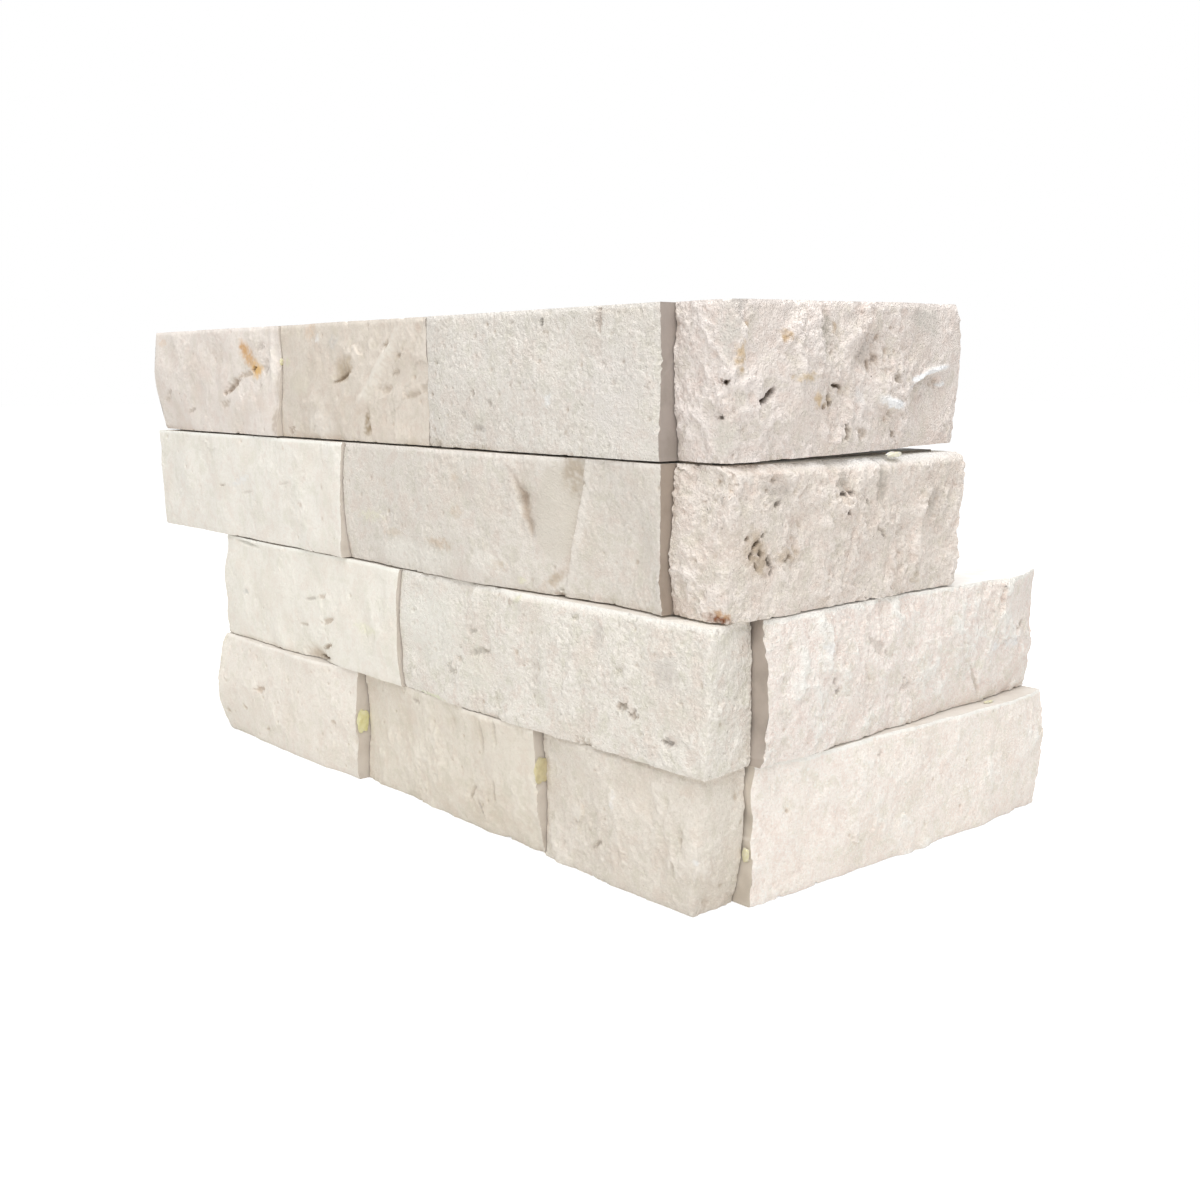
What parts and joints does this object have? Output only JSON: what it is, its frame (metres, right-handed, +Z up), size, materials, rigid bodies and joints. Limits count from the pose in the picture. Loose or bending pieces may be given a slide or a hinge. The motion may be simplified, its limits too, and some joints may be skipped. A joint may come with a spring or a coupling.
{
  "type": "stacked stone ledger corner",
  "caption": "Interlocking outside-corner panel of split-faced limestone ledger strips, glued in staggered courses into an L with sawn flat backs and stepped free ends.",
  "frame": {"origin": "foot of the corner edge, where the sawn back planes of the two legs meet on the underside plane", "axes": "+Z up the wall, +Y out of the long leg's back into the wall, -X out of the short leg's back into the wall; the long leg runs along -X and the short leg along +Y"},
  "size_m": [0.305, 0.1558, 0.1518],
  "materials": {
    "limestone": "split and sawn",
    "stone_resin": "cured adhesive"
  },
  "bodies": {
    "root": {"course_1_long_stone_1": "limestone", "course_1_long_stone_2": "limestone", "course_1_long_stone_3": "limestone", "course_1_short_stone": "limestone", "resin_uprights_1": "stone_resin", "course_2_long_stone_1": "limestone", "course_2_long_stone_2": "limestone", "course_2_short_stone": "limestone", "resin_uprights_2": "stone_resin", "course_3_long_stone_1": "limestone", "course_3_long_stone_2": "limestone", "course_3_short_stone": "limestone", "resin_uprights_3": "stone_resin", "course_4_long_stone_1": "limestone", "course_4_long_stone_2": "limestone", "course_4_long_stone_3": "limestone", "course_4_short_stone": "limestone", "resin_uprights_4": "stone_resin", "resin_bed_1": "stone_resin", "resin_bed_2": "stone_resin", "resin_bed_3": "stone_resin"}
  },
  "joints": []
}
